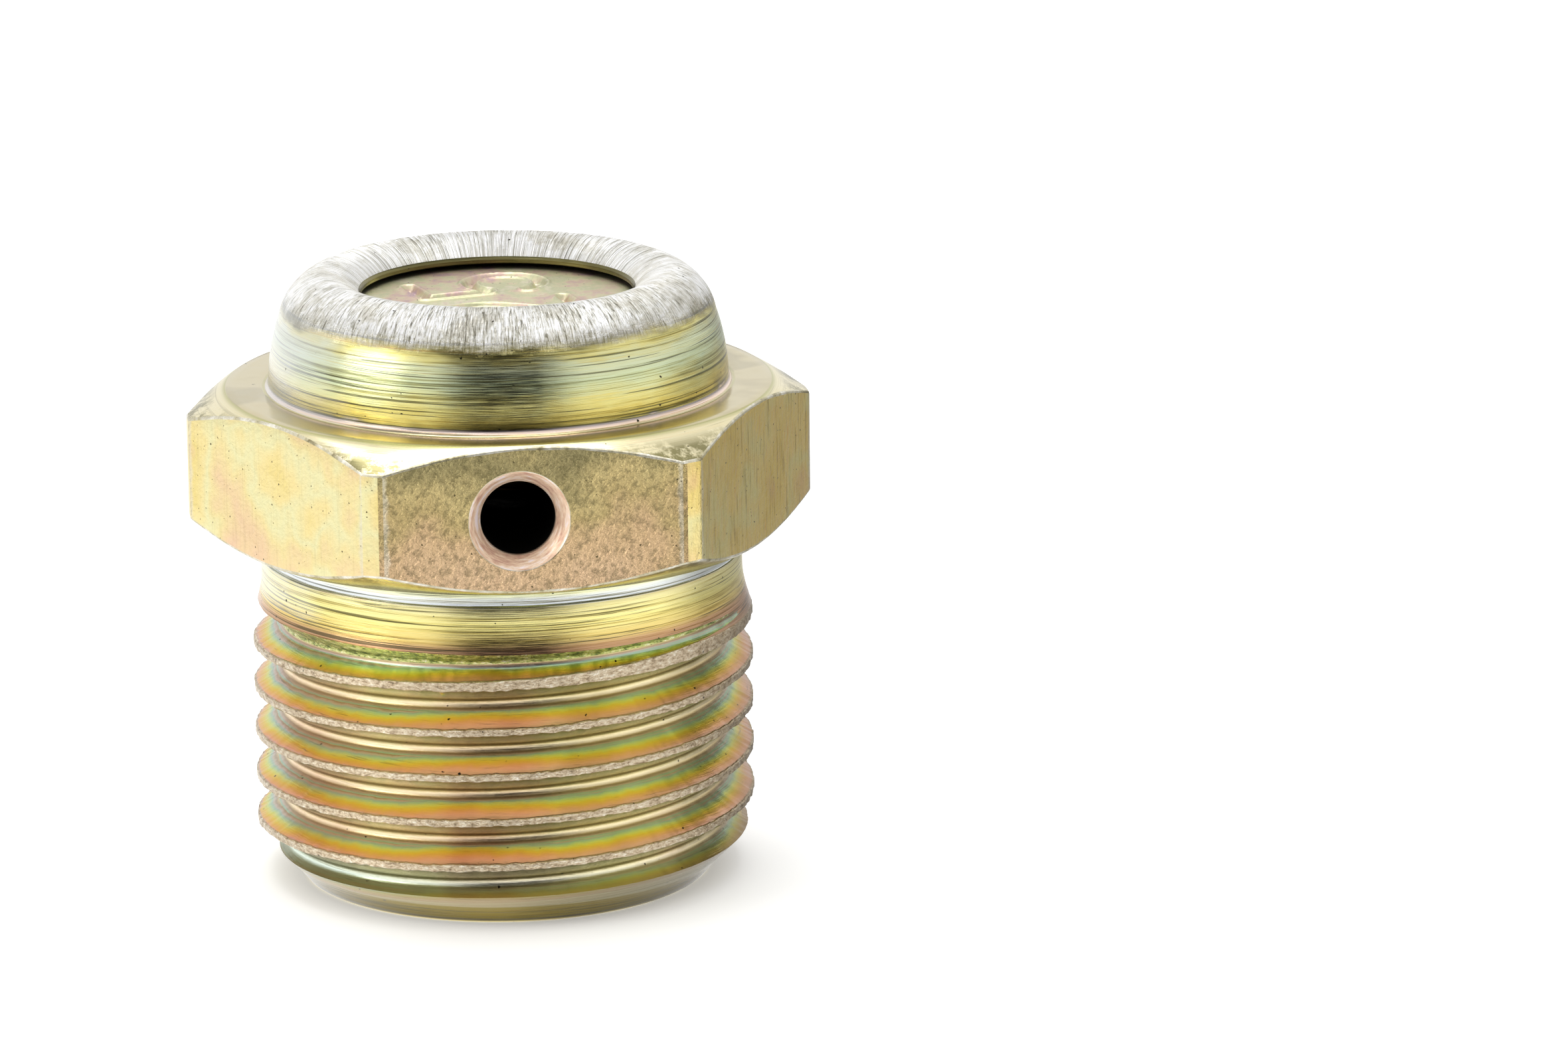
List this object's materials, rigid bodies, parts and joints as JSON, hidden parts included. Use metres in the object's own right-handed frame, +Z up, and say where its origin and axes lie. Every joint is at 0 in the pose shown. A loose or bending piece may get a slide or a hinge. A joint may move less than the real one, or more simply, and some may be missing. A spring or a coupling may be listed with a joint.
{
  "type": "pressure relief valve",
  "caption": "Screw-in spring-loaded pressure relief valve: threaded hexagon body with a side vent, rolled rim and stamped closing disc.",
  "frame": {"origin": "centre of the end face of the threaded end, on the valve's axis", "axes": "+Z up the axis from the threaded end to the stamped disc; the vent looks along -Y"},
  "size_m": [0.0272, 0.024, 0.0269],
  "materials": {
    "plated_steel": "yellow passivated zinc plate, bare bright steel on the rolled rim",
    "plated_disc": "yellow passivated zinc plate",
    "spring_steel": "drawn spring wire, oiled",
    "brass": "turned",
    "seal_rubber": "moulded, matt"
  },
  "bodies": {
    "body": {"valve_body": "plated_steel", "closing_disc": "plated_disc", "valve_spring": "spring_steel"},
    "poppet": {"poppet": "brass", "poppet_seal": "seal_rubber"}
  },
  "joints": [
    {"name": "poppet_lift", "type": "slide", "parent": "body", "child": "poppet", "axis": [0, 0, 1], "range_m": [0, 0.00125], "stiffness_N_per_m": 7200, "deforming": ["valve_spring"]}
  ]
}
